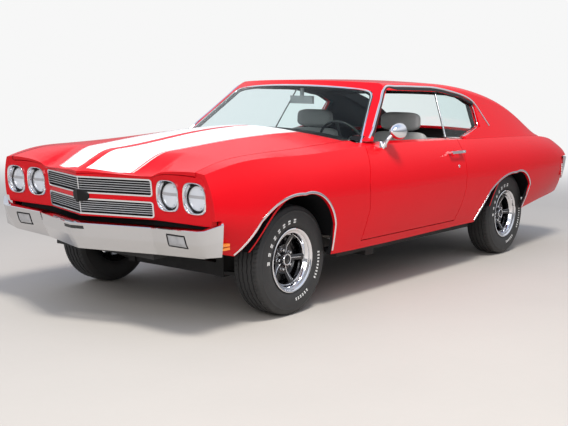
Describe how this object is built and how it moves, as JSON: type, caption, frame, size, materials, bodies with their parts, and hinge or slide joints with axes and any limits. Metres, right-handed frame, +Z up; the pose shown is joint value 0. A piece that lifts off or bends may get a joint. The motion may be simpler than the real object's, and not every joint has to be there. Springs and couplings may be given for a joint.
{
  "type": "muscle car",
  "caption": "Two-door hardtop muscle car with a long hood, split grille, round lamps, wide bumpers, hollow cabin, opening doors, hood and trunk lid, and steered rolling wheels.",
  "frame": {"origin": "on the ground, in the middle of the car's length and width", "axes": "X forward along the car's length, Y to the car's left, Z up"},
  "size_m": [5.01, 1.9335, 1.3988],
  "materials": {
    "red_paint": "glossy saturated red paint",
    "bright_chrome": "polished chrome plate",
    "black_trim": "satin black",
    "clear_glass": "clear, lightly tinted glass",
    "lamp_glass": "clear fluted lamp glass",
    "tyre_rubber": "black rubber",
    "wheel_metal": "bright and dark wheel metal",
    "seat_vinyl": "dark grey vinyl",
    "frame_black": "black chassis paint",
    "bare_steel": "worn bare steel",
    "engine_iron": "painted cast iron",
    "amber_lens": "amber lens",
    "red_lens": "red lens",
    "mirror_face": "mirror glass"
  },
  "bodies": {
    "body": {"cowl": "black_trim", "dashboard": "black_trim", "deck_panel": "red_paint", "drive_shaft": "bare_steel", "engine_block": "engine_iron", "exhaust": "bare_steel", "fenders": "red_paint", "fixed_glass": "clear_glass", "floor_pan": "frame_black", "frame": "frame_black", "front_bumper": "bright_chrome", "front_seats": "seat_vinyl", "fuel_tank": "bare_steel", "grille_bars": "black_trim", "grille_frames": "bright_chrome", "header_panel": "red_paint", "headlamp_bezels": "bright_chrome", "headlamps": "lamp_glass", "interior_mirror": "mirror_face", "parcel_shelf": "black_trim", "parking_lamps": "lamp_glass", "quarter_panels": "red_paint", "radiator": "black_trim", "rear_axle": "frame_black", "rear_bumper": "bright_chrome", "rear_seat": "seat_vinyl", "roof": "red_paint", "side_markers": "amber_lens", "sills": "red_paint", "steering_column": "black_trim", "suspension": "frame_black", "tail_lamps": "red_lens", "tail_panel": "red_paint"},
    "door_left": {"door_left": "red_paint", "handle_left": "bright_chrome", "mirror_left": "bright_chrome"},
    "door_right": {"door_right": "red_paint", "handle_right": "bright_chrome", "door_glass_right": "clear_glass"},
    "hood": {"hood": "red_paint"},
    "trunk_lid": {"trunk_lid": "red_paint"},
    "wheel_front_left": {"tyre_front_left": "tyre_rubber", "rim_front_left": "wheel_metal"},
    "wheel_front_right": {"tyre_front_right": "tyre_rubber", "rim_front_right": "wheel_metal"},
    "wheel_rear_left": {"tyre_rear_left": "tyre_rubber", "rim_rear_left": "wheel_metal"},
    "wheel_rear_right": {"tyre_rear_right": "tyre_rubber", "rim_rear_right": "wheel_metal"},
    "knuckle_left": {"knuckle_left": "engine_iron"},
    "knuckle_right": {"knuckle_right": "engine_iron"},
    "steering_wheel": {"steering_wheel": "black_trim"}
  },
  "joints": [
    {"name": "steer_left", "type": "hinge", "parent": "body", "child": "knuckle_left", "pos_m": [1.55, 0.655, 0.33], "axis": [0, 0, 1], "range_deg": [-33, 33]},
    {"name": "steer_right", "type": "hinge", "parent": "body", "child": "knuckle_right", "pos_m": [1.55, -0.655, 0.33], "axis": [0, 0, 1], "range_deg": [-33, 33]},
    {"name": "steering_wheel_turn", "type": "hinge", "parent": "body", "child": "steering_wheel", "pos_m": [0.355, 0.37, 0.93], "axis": [-0.9135, 0, 0.4067], "range_deg": [-530, 530]},
    {"name": "roll_front_left", "type": "hinge", "parent": "knuckle_left", "child": "wheel_front_left", "pos_m": [1.55, 0.762, 0.33], "axis": [0, 1, 0], "continuous": true},
    {"name": "roll_front_right", "type": "hinge", "parent": "knuckle_right", "child": "wheel_front_right", "pos_m": [1.55, -0.762, 0.33], "axis": [0, 1, 0], "continuous": true},
    {"name": "roll_rear_left", "type": "hinge", "parent": "body", "child": "wheel_rear_left", "pos_m": [-1.295, 0.762, 0.33], "axis": [0, 1, 0], "continuous": true},
    {"name": "roll_rear_right", "type": "hinge", "parent": "body", "child": "wheel_rear_right", "pos_m": [-1.295, -0.762, 0.33], "axis": [0, 1, 0], "continuous": true},
    {"name": "door_left_open", "type": "hinge", "parent": "body", "child": "door_left", "pos_m": [0.85, 0.954, 0.68], "axis": [0, 0, -1], "range_deg": [0, 68]},
    {"name": "door_right_open", "type": "hinge", "parent": "body", "child": "door_right", "pos_m": [0.85, -0.954, 0.68], "axis": [0, 0, 1], "range_deg": [0, 68]},
    {"name": "hood_open", "type": "hinge", "parent": "body", "child": "hood", "pos_m": [0.842, 0, 1.092], "axis": [0, -1, 0], "range_deg": [0, 50]},
    {"name": "trunk_open", "type": "hinge", "parent": "body", "child": "trunk_lid", "pos_m": [-1.632, 0, 1.012], "axis": [0, 1, 0], "range_deg": [0, 70]}
  ],
  "couplings": [
    {"joint": "steer_right", "follows": "steer_left", "ratio": 1},
    {"joint": "steering_wheel_turn", "follows": "steer_left", "ratio": 16}
  ]
}
